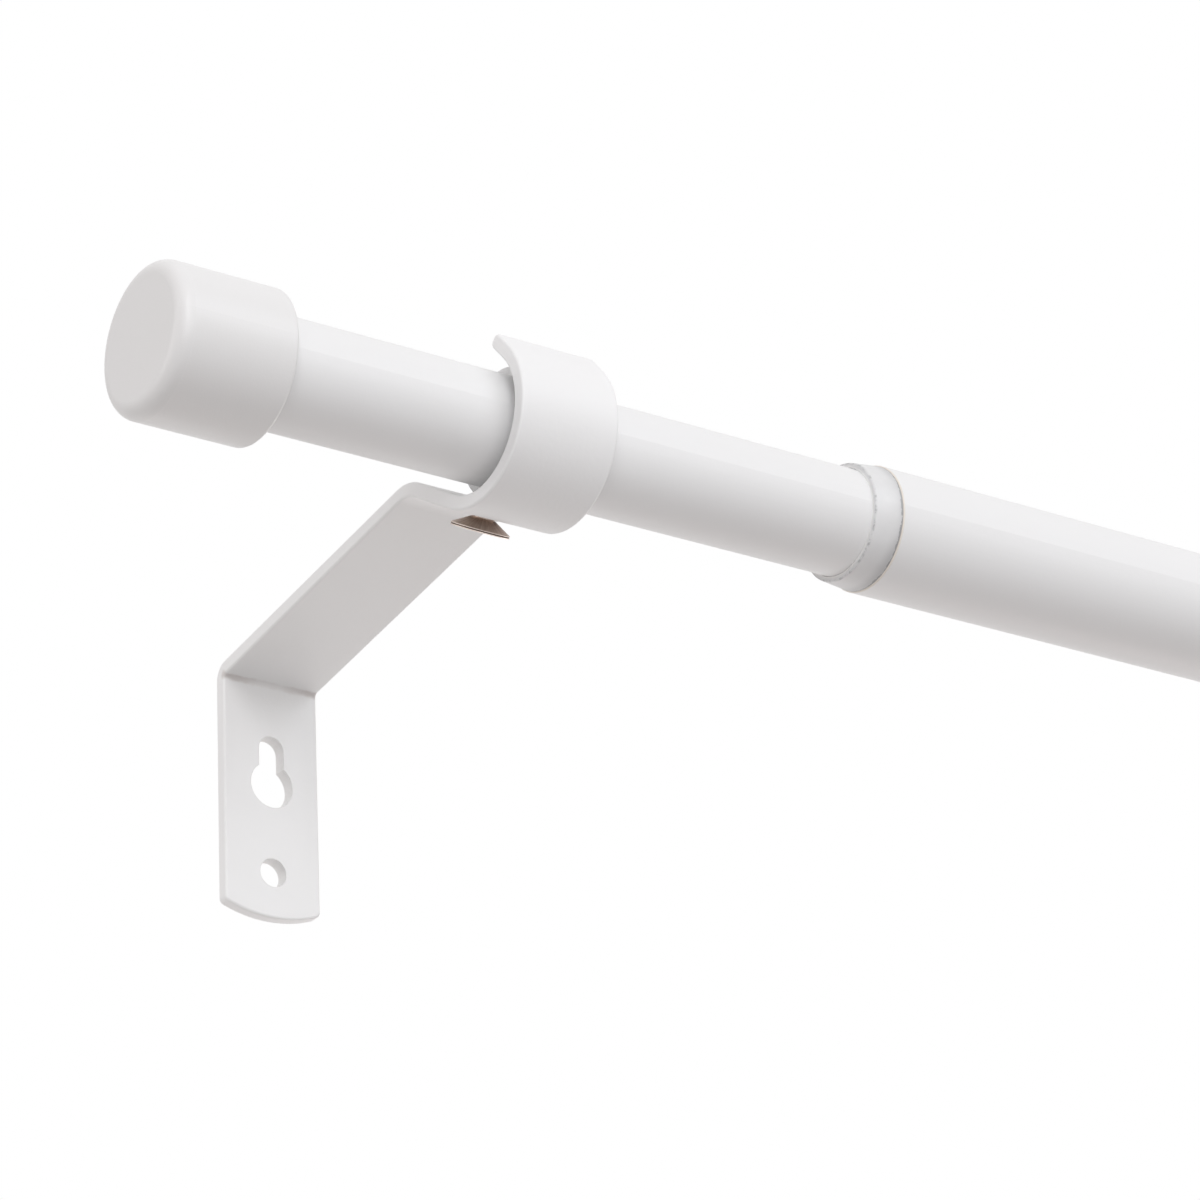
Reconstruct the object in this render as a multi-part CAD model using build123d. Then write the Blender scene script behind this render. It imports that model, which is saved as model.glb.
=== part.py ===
from build123d import *
import math
import os

# Extendable curtain rod: a thin tube that slides in a thick one, a clear collar at their joint, a cap on
# each end, and two wall brackets, each bent from one flat strip with a hook for the rod and a clamp screw.
# +X runs along the rod to the right, -Y points into the room, +Z is up and the wall is the plane y = 0.
# The origin is on the wall face of the left bracket, midway between its two fixing holes. Millimetres.

# Tubes. The thin one's hidden end stops short of the thick one's, so the rod can still be pushed together
THIN_TUBE_OD = 16.0
THICK_TUBE_OD = 19.0
TUBE_WALL = 0.7
TUBE_EDGE_ROUND = 0.25
THICK_TUBE_LENGTH = 615.0
THICK_TUBE_START = 60.0
THIN_END_SETBACK = 63.0

# Running and press clearances, all on the radius
SLIDE_CLEARANCE = 0.1
PLUG_CLEARANCE = 0.05
PRESS_CLEARANCE = 0.02
CAP_CLEARANCE = 0.05

# How close an edge's radius and place must be to count as the one asked for
EDGE_TOLERANCE = 1e-4

# Clear collar at the mouth of the thick tube
COLLAR_FRONT_OD = 17.7
COLLAR_BACK_OD = 18.7
COLLAR_LENGTH = 4.6
COLLAR_SPIGOT = 10.0
COLLAR_EDGE_ROUND = 0.3

# Guide plug in the hidden end of the thin tube
PLUG_FLANGE = 6.0
PLUG_SPIGOT = 12.0
PLUG_BORE = 10.0
PLUG_EDGE_ROUND = 0.4

# End caps, one moulding for both ends
CAP_OD = 22.1
CAP_LENGTH = 18.1
CAP_END_WALL = 2.4
CAP_RIM_ROUND = 2.2
CAP_MOUTH_ROUND = 0.5
CAP_END_GAP = 0.3
CAP_SLEEVE_SETBACK = 0.5
CAP_TO_BRACKET = 42.6

# Bracket strip and its side profile, from the wall outwards
STRIP_WIDTH = 16.0
STRIP_THICKNESS = 2.2
STRIP_EDGE_ROUND = 0.4
ROD_PROJECTION = 70.0
ROD_HEIGHT = 34.5
PLATE_BOTTOM = -13.9
PLATE_END_RADIUS = 21.0
PLATE_CORNER_ROUND = 1.0
PLATE_BEND_RADIUS = 0.6
ARM_RISE = 9.3
PEAK_BEND_RADIUS = 6.0
RUN_LENGTH = 13.3
RUN_FALL = 31.9
HOOK_CLEARANCE = 0.6
SEAT_GAP = 0.25
HOOK_END_ANGLE = 41.1
TIP_LENGTH = 4.3
TIP_ROUND = 0.9

# Fixing holes in the wall plate
HOLE_DIAMETER = 4.4
HOLE_HEIGHT = -6.9
KEYHOLE_HEAD_DIAMETER = 7.1
KEYHOLE_HEAD_HEIGHT = 6.9
KEYHOLE_SLOT_WIDTH = 4.2
KEYHOLE_SLOT_RISE = 5.6

# Clamp screw: countersunk head, cross recess, in a tapped hole in the straight run before the hook
SCREW_DIAMETER = 3.92
SCREW_CLEARANCE = 0.05
SCREW_LENGTH = 5.0
SCREW_HEAD_DIAMETER = 8.6
SCREW_HEAD_RIM = 0.45
SCREW_CONE_HEIGHT = 1.5
SCREW_TIP_CHAMFER = 0.4
SCREW_TIP_GAP = 0.05
SCREW_FROM_HOOK = 4.1
SCREW_HOLE_CHAMFER = 0.3
RECESS_LENGTH = 4.2
RECESS_WIDTH = 1.0
RECESS_DEPTH = 1.4

# Clear split sleeve that fills the hook round the thin tube
HOOK_SLEEVE_LENGTH = 6.4
HOOK_SLEEVE_SLIT = 3.0
HOOK_SLEEVE_SLIT_ANGLE = 128.0

# Radii and places that follow from the sizes above
thin_radius = THIN_TUBE_OD / 2
thick_radius = THICK_TUBE_OD / 2
thin_bore = thin_radius - TUBE_WALL
thick_bore = thick_radius - TUBE_WALL
cap_bore = thick_radius + CAP_CLEARANCE
cap_bore_depth = CAP_LENGTH - CAP_END_WALL
half_strip = STRIP_THICKNESS / 2
hook_inner = thick_radius + HOOK_CLEARANCE
hook_middle = hook_inner + half_strip
hook_drop = HOOK_CLEARANCE - SEAT_GAP

left_cap_mouth = -CAP_TO_BRACKET
left_cap_end = left_cap_mouth - CAP_LENGTH
thick_tube_end = THICK_TUBE_START + THICK_TUBE_LENGTH
thin_tube_start = left_cap_end + CAP_END_WALL + CAP_END_GAP
thin_tube_end = thick_tube_end - THIN_END_SETBACK
thin_tube_length = thin_tube_end - thin_tube_start
right_cap_end = thick_tube_end + CAP_END_GAP + CAP_END_WALL
right_bracket_x = right_cap_end - CAP_LENGTH - CAP_TO_BRACKET

# Side view of a bracket: first coordinate out from the wall, second up
SIDE = Plane(origin=(0, 0, 0), x_dir=(0, -1, 0), z_dir=(-1, 0, 0))
rod_centre = Vector(ROD_PROJECTION, ROD_HEIGHT)
hook_centre = rod_centre + Vector(0, hook_drop)
run_angle = math.radians(RUN_FALL)
run_along = Vector(math.cos(run_angle), -math.sin(run_angle))
run_up = Vector(math.sin(run_angle), math.cos(run_angle))
run_end = hook_centre - run_up * hook_middle
peak = run_end - run_along * RUN_LENGTH
plate_top = peak.Y - (peak.X - half_strip) * math.tan(math.radians(ARM_RISE))


def along_rod(x):
    """Frame with its Z axis along the rod, at the rod's centre line and this x."""
    return Plane(origin=(x, -ROD_PROJECTION, ROD_HEIGHT), x_dir=(0, -1, 0), z_dir=(1, 0, 0))


def turned(points, x):
    """Ring turned about the rod: points are (distance along the rod from x, radius)."""
    outline = Polyline([Vector(radius, 0, along) for along, radius in points], close=True)
    return along_rod(x) * revolve(make_face(outline.edges()), Axis.Z)


def ring_edges(part, radius, x):
    """Circular edges of this radius at this x."""
    circles = part.edges().filter_by(GeomType.CIRCLE)
    sized = circles.filter_by(lambda edge: abs(edge.radius - radius) < EDGE_TOLERANCE)
    return sized.filter_by(lambda edge: abs(edge.center().X - x) < EDGE_TOLERANCE)


def tube(start, length, outer, bore):
    """Plain tube with lightly rounded ends."""
    body = turned([(0, bore), (0, outer), (length, outer), (length, bore)], start)
    ends = ring_edges(body, outer, start) + ring_edges(body, outer, start + length)
    return fillet(ends, TUBE_EDGE_ROUND)


def joint_collar():
    """Clear collar: a tapered nose in front of the thick tube and a spigot inside it."""
    bore = thin_radius + SLIDE_CLEARANCE
    spigot = thick_bore - PRESS_CLEARANCE
    front = THICK_TUBE_START - COLLAR_LENGTH
    nose = COLLAR_FRONT_OD / 2
    back = COLLAR_BACK_OD / 2
    end = COLLAR_LENGTH + COLLAR_SPIGOT
    nose_points = [(0, bore), (0, nose), (COLLAR_LENGTH, back)]
    spigot_points = [(COLLAR_LENGTH, spigot), (end, spigot), (end, bore)]
    body = turned(nose_points + spigot_points, front)
    return fillet(ring_edges(body, nose, front), COLLAR_EDGE_ROUND)


def guide_plug():
    """Plug in the end of the thin tube whose flange runs in the bore of the thick tube."""
    flange = thick_bore - PLUG_CLEARANCE
    spigot = thin_bore - PRESS_CLEARANCE
    bore = PLUG_BORE / 2
    points = [(-PLUG_SPIGOT, bore), (-PLUG_SPIGOT, spigot), (0, spigot), (0, flange)]
    points += [(PLUG_FLANGE, flange), (PLUG_FLANGE, bore)]
    body = turned(points, thin_tube_end)
    rims = ring_edges(body, flange, thin_tube_end) + ring_edges(body, flange, thin_tube_end + PLUG_FLANGE)
    return fillet(rims, PLUG_EDGE_ROUND)


def end_cap(end, inwards):
    """Cap closed at x = end, open in the direction inwards (+1 or -1)."""
    outer = CAP_OD / 2
    depth = CAP_END_WALL * inwards
    length = CAP_LENGTH * inwards
    outside = [(0, 0), (0, outer), (length, outer)]
    inside = [(length, cap_bore), (depth, cap_bore), (depth, 0)]
    body = turned(outside + inside, end)
    body = fillet(ring_edges(body, outer, end), CAP_RIM_ROUND)
    return fillet(ring_edges(body, outer, end + length), CAP_MOUTH_ROUND)


def left_cap_sleeve():
    """Sleeve in the left cap that takes up the step from the thick tube's size to the thin tube."""
    inner = thin_radius + CAP_CLEARANCE
    outer = cap_bore - PRESS_CLEARANCE
    length = cap_bore_depth - CAP_SLEEVE_SETBACK
    return turned([(0, inner), (0, outer), (length, outer), (length, inner)], left_cap_end + CAP_END_WALL)


def hook_sleeve():
    """Split clear sleeve on the thin tube in the left hook, its slit towards the hook's open side."""
    inner = thin_radius + CAP_CLEARANCE
    length = HOOK_SLEEVE_LENGTH
    outline = [(0, inner), (0, thick_radius), (length, thick_radius), (length, inner)]
    ring = turned(outline, -length / 2)
    one_side = (Align.MIN, Align.CENTER, Align.CENTER)
    slit = Box(THICK_TUBE_OD, HOOK_SLEEVE_SLIT, 2 * length, align=one_side)
    return ring - along_rod(0) * Rot(0, 0, -HOOK_SLEEVE_SLIT_ANGLE) * slit


def screw_frame(x):
    """Frame of a clamp screw: Z from its tip to its head, origin on the inner face of the strip."""
    point = hook_centre - run_up * hook_inner - run_along * SCREW_FROM_HOOK
    return Plane(origin=(x, -point.X, point.Y), x_dir=(1, 0, 0), z_dir=(0, run_up.X, -run_up.Y))


def screw_tip_height():
    """How far the tip stands out of the inner face when it just meets the tube or sleeve in the hook."""
    tip_radius = SCREW_DIAMETER / 2 - SCREW_TIP_CHAMFER
    offset = SCREW_FROM_HOOK - tip_radius - hook_drop * run_along.Y
    surface = math.sqrt(thick_radius**2 - offset**2)
    return hook_inner - hook_drop * run_up.Y - surface - SCREW_TIP_GAP


def clamp_screw(x):
    """Countersunk screw with a cross recess."""
    shank = SCREW_DIAMETER / 2
    head = SCREW_HEAD_DIAMETER / 2
    tip = -screw_tip_height()
    top = tip + SCREW_LENGTH
    cone_end = top - SCREW_HEAD_RIM - SCREW_CONE_HEIGHT
    tip_points = [(0, tip), (shank - SCREW_TIP_CHAMFER, tip), (shank, tip + SCREW_TIP_CHAMFER)]
    head_points = [(shank, cone_end), (head, top - SCREW_HEAD_RIM), (head, top), (0, top)]
    outline = Polyline([Vector(r, 0, z) for r, z in tip_points + head_points], close=True)
    body = revolve(make_face(outline.edges()), Axis.Z)
    bar = Box(RECESS_LENGTH, RECESS_WIDTH, 2 * RECESS_DEPTH)
    recess = bar + Rot(0, 0, 90) * bar
    return screw_frame(x) * (body - Pos(0, 0, top) * recess)


def strip_centre_line():
    """Middle of the strip in side view: plate, arm, run, hook and tip."""
    bends = FilletPolyline(
        (half_strip, PLATE_BOTTOM),
        (half_strip, plate_top),
        (peak.X, peak.Y),
        (run_end.X, run_end.Y),
        radius=[PLATE_BEND_RADIUS + half_strip, PEAK_BEND_RADIUS + half_strip],
    )
    start_angle = -90 - RUN_FALL
    hook = CenterArc((hook_centre.X, hook_centre.Y), hook_middle, start_angle, HOOK_END_ANGLE - start_angle)
    tip = Line(hook @ 1, hook @ 1 + (hook % 1) * TIP_LENGTH)
    return bends.edges() + hook.edges() + tip.edges()


def plate_end_offcut():
    """What the shallow round end takes off the bottom of the wall plate."""
    end = Rectangle(2 * STRIP_WIDTH, PLATE_END_RADIUS, align=(Align.CENTER, Align.MIN))
    kept = Pos(0, PLATE_END_RADIUS) * Circle(PLATE_END_RADIUS)
    offcut = Pos(0, PLATE_BOTTOM) * (end - kept)
    return extrude(Plane.XZ * offcut, STRIP_THICKNESS, both=True)


def tip_edges(strip):
    """The two edges across the strip at the end of the hook."""
    across = strip.edges().filter_by(Axis.X)
    return across.group_by(Axis.Z)[-1] + across.group_by(Axis.Z)[-2]


def rim_edges(strip):
    """All edges that run round the two broad faces of the strip."""
    return strip.edges() - strip.edges().filter_by(Axis.X) - strip.edges().filter_by(Axis.Y)


def wall_holes():
    """Round hole and keyhole, cut straight through the wall plate."""
    round_hole = Pos(0, HOLE_HEIGHT) * Circle(HOLE_DIAMETER / 2)
    head = Pos(0, KEYHOLE_HEAD_HEIGHT) * Circle(KEYHOLE_HEAD_DIAMETER / 2)
    slot_top = KEYHOLE_HEAD_HEIGHT + KEYHOLE_SLOT_RISE
    slot = Pos(0, slot_top) * Circle(KEYHOLE_SLOT_WIDTH / 2)
    sides = Rectangle(KEYHOLE_SLOT_WIDTH, KEYHOLE_SLOT_RISE, align=(Align.CENTER, Align.MIN))
    keyhole = head + slot + Pos(0, KEYHOLE_HEAD_HEIGHT) * sides
    return extrude(Plane.XZ * (round_hole + keyhole), 2 * STRIP_THICKNESS, both=True)


def tapped_hole():
    """Hole for the clamp screw, square to the run and eased where the screw's head faces it."""
    radius = SCREW_DIAMETER / 2 + SCREW_CLEARANCE
    mouth = radius + SCREW_HOLE_CHAMFER
    bottom = -STRIP_THICKNESS
    outer = STRIP_THICKNESS
    ease = outer - SCREW_HOLE_CHAMFER
    thread_points = [(0, bottom), (radius, bottom), (radius, ease)]
    mouth_points = [(mouth, outer), (mouth, 2 * outer), (0, 2 * outer)]
    outline = Polyline([Vector(r, 0, z) for r, z in thread_points + mouth_points], close=True)
    return screw_frame(0) * revolve(make_face(outline.edges()), Axis.Z)


def bracket(x):
    """Wall bracket bent from one strip, with its keyhole, round hole and tapped hole."""
    profile = SIDE * trace(strip_centre_line(), STRIP_THICKNESS)
    strip = extrude(profile, STRIP_WIDTH / 2, both=True)
    strip -= plate_end_offcut()
    strip = fillet(tip_edges(strip), TIP_ROUND)
    strip = fillet(strip.edges().filter_by(Axis.Y).group_by(Axis.Z)[0], PLATE_CORNER_ROUND)
    strip = fillet(rim_edges(strip), STRIP_EDGE_ROUND)
    return Pos(x, 0, 0) * (strip - wall_holes() - tapped_hole())


nodes = {
    "left_bracket": bracket(0),
    "right_bracket": bracket(right_bracket_x),
    "thin_tube": tube(thin_tube_start, thin_tube_length, thin_radius, thin_bore),
    "thick_tube": tube(THICK_TUBE_START, THICK_TUBE_LENGTH, thick_radius, thick_bore),
    "joint_collar": joint_collar(),
    "guide_plug": guide_plug(),
    "left_end_cap": end_cap(left_cap_end, 1),
    "right_end_cap": end_cap(right_cap_end, -1),
    "left_cap_sleeve": left_cap_sleeve(),
    "hook_sleeve": hook_sleeve(),
    "left_clamp_screw": clamp_screw(0),
    "right_clamp_screw": clamp_screw(right_bracket_x),
}

os.makedirs("parts", exist_ok=True)
for name, solid in nodes.items():
    solid.label = name
    export_step(solid, f"parts/{name}.step")
    print(name, round(solid.volume, 1), solid.bounding_box())
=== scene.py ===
# %% [markdown]
# # An extendable curtain rod
# Two painted steel tubes slide in each other, with a clear collar where they meet and a cap on each end.
# Each bracket is bent from one flat strip: a plate on the wall, an arm, and a hook with a clamp screw.
# The solids come from the CAD model and stay as they are. This lesson gives them their finishes, makes the
# clamp screws again with real threads and the hook's sleeve with round lips, and sets up the camera and the
# light of a product photograph.

# %% Load the solids and keep their box
import bmesh
import bpy
import math
from mathutils import Matrix, Quaternion, Vector


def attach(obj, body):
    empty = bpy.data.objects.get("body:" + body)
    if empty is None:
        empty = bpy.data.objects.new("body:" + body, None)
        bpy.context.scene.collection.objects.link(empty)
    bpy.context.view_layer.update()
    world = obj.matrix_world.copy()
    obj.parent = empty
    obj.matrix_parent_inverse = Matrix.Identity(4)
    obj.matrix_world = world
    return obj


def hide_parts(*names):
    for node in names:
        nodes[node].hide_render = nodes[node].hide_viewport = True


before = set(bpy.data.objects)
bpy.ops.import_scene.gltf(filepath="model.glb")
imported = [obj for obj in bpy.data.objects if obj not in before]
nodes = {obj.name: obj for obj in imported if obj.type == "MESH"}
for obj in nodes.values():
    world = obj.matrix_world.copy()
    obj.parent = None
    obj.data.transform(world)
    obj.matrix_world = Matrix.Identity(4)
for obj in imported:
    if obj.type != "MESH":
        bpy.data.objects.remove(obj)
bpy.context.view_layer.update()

MM = 0.001
scene = bpy.context.scene
scene.view_settings.view_transform = "Standard"

# %% [markdown]
# ## The camera
# The picture was taken from below and from the left, with a long lens, so that the rod runs away to the
# right. A camera could be placed by eye. Here its place and its three turns come from fitting the
# outlines of the two tubes and the mouth of the thick one, so the solids fall where the photograph
# shows them.

# %% Camera
LENS_MM = 141.7
SENSOR_MM = 36.0
NEAREST_SEEN = 0.01
CAMERA_PLACE = Vector((-0.3363, -0.55229, -0.25671))
CAMERA_YAW = 35.844
CAMERA_PITCH = 24.346
CAMERA_ROLL = -2.79

yaw, pitch = math.radians(CAMERA_YAW), math.radians(CAMERA_PITCH)
looking = Vector((math.cos(pitch) * math.sin(yaw), math.cos(pitch) * math.cos(yaw), math.sin(pitch)))
turn = looking.to_track_quat("-Z", "Y") @ Quaternion((0, 0, 1), math.radians(CAMERA_ROLL))

camera_data = bpy.data.cameras.new("photo_camera")
camera_data.lens = LENS_MM
camera_data.sensor_width = SENSOR_MM
camera_data.sensor_fit = "HORIZONTAL"
camera_data.clip_start = NEAREST_SEEN
camera = bpy.data.objects.new("photo_camera", camera_data)
camera.matrix_world = Matrix.Translation(CAMERA_PLACE) @ turn.to_matrix().to_4x4()
scene.collection.objects.link(camera)
scene.camera = camera
print("camera looks along", [round(v, 3) for v in looking])

# %% [markdown]
# ## Light
# White things photograph well in a white room with soft light from several sides, because then gentle greys
# show the shape. Here softboxes stand in front of the rod, to its left and below it. Their strengths were
# chosen by comparing greys on the render with those on the photograph, so they need not be the lamps that
# were really there. They are large, because small lamps would leave hard highlights on the satin paint.

# %% Softboxes
SOFTBOXES = {
    # name: (centre in metres, side in metres, watts, colour)
    "key_right": ((1.30, -2.50, 1.60), 1.5, 14.0, (0.91, 0.96, 1.0)),
    "key_left": ((-1.20, -2.60, 1.60), 1.5, 22.6, (0.98, 0.985, 1.0)),
    "front": ((0.05, -3.20, 0.30), 1.5, 10.5, (0.98, 0.985, 1.0)),
    "front_left": ((-1.40, -2.80, 0.25), 1.5, 16.5, (0.96, 0.97, 1.0)),
    "left_back": ((-2.20, 0.90, 0.50), 1.3, 7.5, (1.0, 0.98, 0.98)),
    "under": ((0.10, 0.30, -0.38), 0.7, 1.02, (1.0, 0.97, 0.96)),
    "under_left": ((-0.70, 0.10, -0.38), 0.6, 0.25, (1.0, 0.98, 0.95)),
    "under_right": ((0.90, 0.30, -0.38), 0.6, 1.7, (1.0, 0.90, 0.89)),
}
AIM = Vector((0.05, -0.05, 0.02))


def softbox(name, centre, side, watts, colour):
    """A square area lamp that faces the left bracket and that the camera doesn't see."""
    lamp = bpy.data.lights.new("softbox_" + name, "AREA")
    lamp.shape = "SQUARE"
    lamp.size = side
    lamp.energy = watts
    lamp.color = colour
    stand = bpy.data.objects.new("softbox_" + name, lamp)
    stand.location = centre
    stand.rotation_euler = (AIM - Vector(centre)).to_track_quat("-Z", "Y").to_euler()
    stand.visible_camera = False
    scene.collection.objects.link(stand)


for name, facts in SOFTBOXES.items():
    softbox(name, *facts)
print("softboxes:", ", ".join(SOFTBOXES))

# %% [markdown]
# ## Small helpers for shader nodes
# A finish is a tree of nodes. The nodes can be placed by hand in the shader editor, or by code, which is
# easier to repeat and to change. These helpers add a node, join two sockets, and do one step of arithmetic
# or mixing, so that each finish below reads as a short list of what happens.


# %% Node helpers
def add(tree, kind, **settings):
    """A new node with its properties set."""
    node = tree.nodes.new(kind)
    for key, value in settings.items():
        setattr(node, key, value)
    return node


def feed(tree, socket, value):
    """Joins an output to this input, or sets the input to a plain value."""
    if isinstance(value, bpy.types.NodeSocket):
        tree.links.new(value, socket)
    else:
        socket.default_value = value


def math_step(tree, operation, *values):
    """One arithmetic step, as an output socket."""
    node = add(tree, "ShaderNodeMath", operation=operation)
    for socket, value in zip(node.inputs, values):
        feed(tree, socket, value)
    return node.outputs[0]


def ramp_step(tree, value, low, high, out_low=0.0, out_high=1.0):
    """A smooth step from out_low to out_high while value goes from low to high."""
    node = add(tree, "ShaderNodeMapRange", interpolation_type="SMOOTHSTEP")
    for socket, number in zip(node.inputs, (value, low, high, out_low, out_high)):
        feed(tree, socket, number)
    return node.outputs["Result"]


def centred(tree, value):
    """Noise from 0 to 1, moved to lie evenly round 0."""
    return math_step(tree, "SUBTRACT", value, 0.5)


def blend_colour(tree, share, first, second, mode="MIX"):
    """Two colours mixed by a share from 0 to 1."""
    node = add(tree, "ShaderNodeMix", data_type="RGBA", blend_type=mode)
    feed(tree, node.inputs["Factor"], share)
    feed(tree, node.inputs["A"], first)
    feed(tree, node.inputs["B"], second)
    return node.outputs["Result"]


def toned(tree, colour, tone):
    """A colour made lighter or darker by a factor that changes over the surface."""
    grey = add(tree, "ShaderNodeCombineColor")
    for socket in grey.inputs:
        tree.links.new(tone, socket)
    return blend_colour(tree, 1.0, colour, grey.outputs[0], "MULTIPLY")


print("node helpers ready")

# %% [markdown]
# ## Helpers for places, noise and groups
# Every surface varies from place to place. Pictures could be wrapped round the pieces, but noise needs no
# seams and no files. It is taken from each piece's own coordinates in millimetres, so that grain keeps its
# real size and moves with the piece. A node group is a tree of its own, which several finishes share.


# %% Place, noise and group helpers
def millimetres(tree):
    """The piece's own coordinates, in millimetres."""
    place = add(tree, "ShaderNodeTexCoord")
    scale = add(tree, "ShaderNodeVectorMath", operation="SCALE")
    tree.links.new(place.outputs["Object"], scale.inputs[0])
    scale.inputs["Scale"].default_value = 1 / MM
    return scale.outputs[0]


def noise(tree, place, per_mm, detail=2.0, roughness=0.5, distortion=0.0):
    """Smooth noise with this many cells to the millimetre."""
    node = add(tree, "ShaderNodeTexNoise")
    feed(tree, node.inputs["Vector"], place)
    feed(tree, node.inputs["Scale"], per_mm)
    node.inputs["Detail"].default_value = detail
    node.inputs["Roughness"].default_value = roughness
    node.inputs["Distortion"].default_value = distortion
    return node.outputs["Fac"]


def new_group(name, inputs, outputs):
    """An empty node group with named sockets: {name: (kind, default)} in and {name: kind} out."""
    kinds = {"value": "NodeSocketFloat", "colour": "NodeSocketColor"}
    group = bpy.data.node_groups.new(name, "ShaderNodeTree")
    for label, (kind, default) in inputs.items():
        socket = group.interface.new_socket(label, in_out="INPUT", socket_type=kinds[kind])
        socket.default_value = default
    for label, kind in outputs.items():
        group.interface.new_socket(label, in_out="OUTPUT", socket_type=kinds[kind])
    return group, add(group, "NodeGroupInput").outputs, add(group, "NodeGroupOutput").inputs


def use_group(tree, group, **values):
    """A group placed in a material, with its inputs fed by name."""
    node = add(tree, "ShaderNodeGroup", node_tree=group)
    for label, value in values.items():
        feed(tree, node.inputs[label.replace("_", " ").capitalize()], value)
    return node.outputs


def new_finish(name):
    """A material with its Principled shader, ready to be fed."""
    finish = bpy.data.materials.new(name)
    finish.use_nodes = True
    return finish, finish.node_tree, finish.node_tree.nodes["Principled BSDF"].inputs


def bump(tree, height, relief_mm):
    """A normal that follows a height map of this much relief."""
    node = add(tree, "ShaderNodeBump")
    node.inputs["Distance"].default_value = relief_mm * MM
    feed(tree, node.inputs["Height"], height)
    return node.outputs["Normal"]


print("place, noise and group helpers ready")

# %% [markdown]
# ## The skin of a coat of paint
# Sprayed paint is never quite even. It dries with a fine orange peel about a millimetre across, its tone
# drifts a little over some centimetres, and here and there a speck of dust is caught in it. Each finish
# could have its own nodes for this. Brackets and tubes are painted alike, so the skin is one node group with
# its own values in each finish.

# %% Paint skin group
SPECK_CELL_MM = 9.0
SPECK_CHANCE = (0.93, 0.94)
SPECK_SIZE = (0.015, 0.045)
SPECK_COLOUR = (0.42, 0.40, 0.38, 1)
SPECK_RELIEF = 1.5
FINE_PER_MM = 4.0
FINE_RELIEF = 0.25
DRIFT_PER_MM = 0.04
GLOSS_PATCHES = 0.10

paint_skin, given, result = new_group(
    "paint_skin",
    {
        "Colour": ("colour", (0.8, 0.8, 0.8, 1)),
        "Peel size": ("value", 1.0),
        "Tone drift": ("value", 0.02),
        "Specks": ("value", 0.3),
        "Gloss": ("value", 0.42),
    },
    {"Colour": "colour", "Roughness": "value", "Height": "value"},
)
place = millimetres(paint_skin)
peel = noise(paint_skin, place, math_step(paint_skin, "DIVIDE", 1.0, given["Peel size"]), detail=1.5)
fine = noise(paint_skin, place, FINE_PER_MM)
drift = noise(paint_skin, place, DRIFT_PER_MM)

cells = add(paint_skin, "ShaderNodeTexVoronoi", feature="F1")
paint_skin.links.new(place, cells.inputs["Vector"])
cells.inputs["Scale"].default_value = 1 / SPECK_CELL_MM
chosen = ramp_step(paint_skin, cells.outputs["Color"], *SPECK_CHANCE)
dot = ramp_step(paint_skin, cells.outputs["Distance"], *SPECK_SIZE, 1.0, 0.0)
speck = math_step(paint_skin, "MULTIPLY", math_step(paint_skin, "MULTIPLY", chosen, dot), given["Specks"])

tone = math_step(paint_skin, "MULTIPLY_ADD", centred(paint_skin, drift), given["Tone drift"], 1.0)
drifted = toned(paint_skin, given["Colour"], tone)
paint_skin.links.new(blend_colour(paint_skin, speck, drifted, SPECK_COLOUR), result["Colour"])
patchy = math_step(paint_skin, "MULTIPLY_ADD", centred(paint_skin, fine), GLOSS_PATCHES, given["Gloss"])
paint_skin.links.new(patchy, result["Roughness"])
relief = math_step(paint_skin, "MULTIPLY_ADD", fine, FINE_RELIEF, peel)
paint_skin.links.new(math_step(paint_skin, "MULTIPLY_ADD", speck, SPECK_RELIEF, relief), result["Height"])
print("group:", paint_skin.name, len(paint_skin.nodes), "nodes")

# %% [markdown]
# ## Where the coat thins to steel
# Paint hardly gets into a tube or a tapped hole, and it pulls thin on punched edges. There the steel shows,
# darker and warmer. A second material slot would need its own faces, while a mask fades as real spray does.
# So one group takes a mask and turns paint into bare steel by that share.

# %% Thin coat group
STEEL = (0.46, 0.44, 0.42, 1)
STEEL_ROUGHNESS = 0.3
STEEL_STREAKS = 0.2
PATCHES_PER_MM = 1.6
PATCHINESS = 0.3
BARE_FADE = (0.05, 1.0)
METAL_FADE = (0.5, 0.9)

thin_coat, given, result = new_group(
    "thin_coat",
    {
        "Colour": ("colour", (0.8, 0.8, 0.8, 1)),
        "Roughness": ("value", 0.4),
        "Bare": ("value", 0.0),
    },
    {"Colour": "colour", "Roughness": "value", "Metallic": "value"},
)
patches = noise(thin_coat, millimetres(thin_coat), PATCHES_PER_MM, detail=3.0)
patchy = math_step(thin_coat, "MULTIPLY_ADD", centred(thin_coat, patches), PATCHINESS, given["Bare"])
share = math_step(thin_coat, "MULTIPLY", ramp_step(thin_coat, patchy, *BARE_FADE), given["Bare"])
thin_coat.links.new(blend_colour(thin_coat, share, given["Colour"], STEEL), result["Colour"])

rough = add(thin_coat, "ShaderNodeMix", data_type="FLOAT")
feed(thin_coat, rough.inputs["Factor"], share)
feed(thin_coat, rough.inputs["A"], given["Roughness"])
streaked = math_step(thin_coat, "MULTIPLY_ADD", patches, STEEL_STREAKS, STEEL_ROUGHNESS)
feed(thin_coat, rough.inputs["B"], streaked)
thin_coat.links.new(rough.outputs["Result"], result["Roughness"])
thin_coat.links.new(ramp_step(thin_coat, share, *METAL_FADE), result["Metallic"])
print("group:", thin_coat.name, len(thin_coat.nodes), "nodes")

# %% [markdown]
# ## Distance in the piece's own frame
# The masks need to know how far a point is from the rod's centre line or from a hole. Faces could be picked
# by hand for this, but a distance also gives soft borders. Each one lies in a plane, so one helper squares
# two offsets, adds them and takes the root.


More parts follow.
